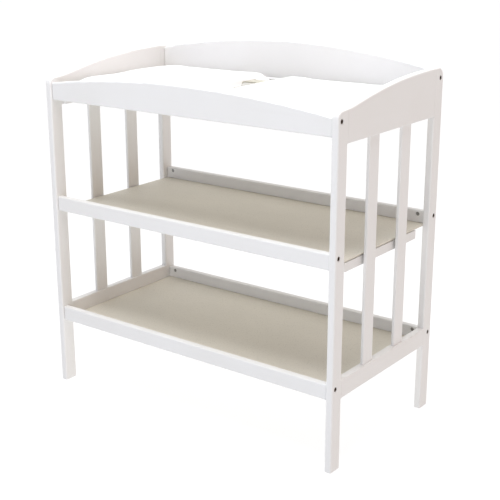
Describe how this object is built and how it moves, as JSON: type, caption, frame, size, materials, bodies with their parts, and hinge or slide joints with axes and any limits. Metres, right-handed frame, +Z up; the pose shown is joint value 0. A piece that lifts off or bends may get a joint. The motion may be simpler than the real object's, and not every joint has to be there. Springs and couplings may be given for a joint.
{
  "type": "changing table",
  "caption": "Free-standing painted timber changing table: two slatted end frames, arched rails round a padded top tray with a strap, and two open shelves with low rails.",
  "frame": {"origin": "on the floor, in the middle of the footprint", "axes": "+X towards the right-hand end seen from the front, +Y towards the back, +Z up"},
  "size_m": [0.88, 0.464, 0.9129],
  "materials": {
    "painted_timber": "satin white paint",
    "shelf_board": "matt warm grey foil",
    "bare_beech": "bare fluted beech",
    "black_steel": "blackened steel",
    "zinc_steel": "zinc plated",
    "pad_cover": "wipe-clean coated cloth",
    "webbing": "woven webbing",
    "buckle_plastic": "satin moulded"
  },
  "bodies": {
    "frame": {"left_front_post": "painted_timber", "left_back_post": "painted_timber", "left_top_panel": "painted_timber", "left_bottom_rail": "painted_timber", "left_front_slat": "painted_timber", "left_back_slat": "painted_timber", "right_front_post": "painted_timber", "right_back_post": "painted_timber", "right_top_panel": "painted_timber", "right_bottom_rail": "painted_timber", "right_front_slat": "painted_timber", "right_back_slat": "painted_timber", "top_front_rail": "painted_timber", "top_back_panel": "painted_timber", "mid_front_rail": "painted_timber", "mid_back_rail": "painted_timber", "low_front_rail": "painted_timber", "low_back_rail": "painted_timber", "left_shelf_batten": "painted_timber", "right_shelf_batten": "painted_timber", "left_top_board_cleat": "painted_timber", "right_top_board_cleat": "painted_timber", "top_board": "shelf_board", "mid_shelf_board": "shelf_board", "low_shelf_board": "shelf_board", "end_frame_dowels": "bare_beech", "rail_dowels": "bare_beech", "frame_bolts": "black_steel", "barrel_nuts": "zinc_steel", "cleat_screws": "zinc_steel"},
    "pad": {"changing_pad": "pad_cover", "strap_front_half": "webbing", "strap_back_half": "webbing", "buckle_body": "buckle_plastic"},
    "tongue": {"buckle_tongue": "buckle_plastic"}
  },
  "joints": [
    {"name": "pad_lift", "type": "slide", "parent": "frame", "child": "pad", "axis": [0, 0, 1], "range_m": [0, 0.2]},
    {"name": "tongue_release", "type": "slide", "parent": "pad", "child": "tongue", "axis": [0, -1, 0], "range_m": [0, 0.016]}
  ]
}
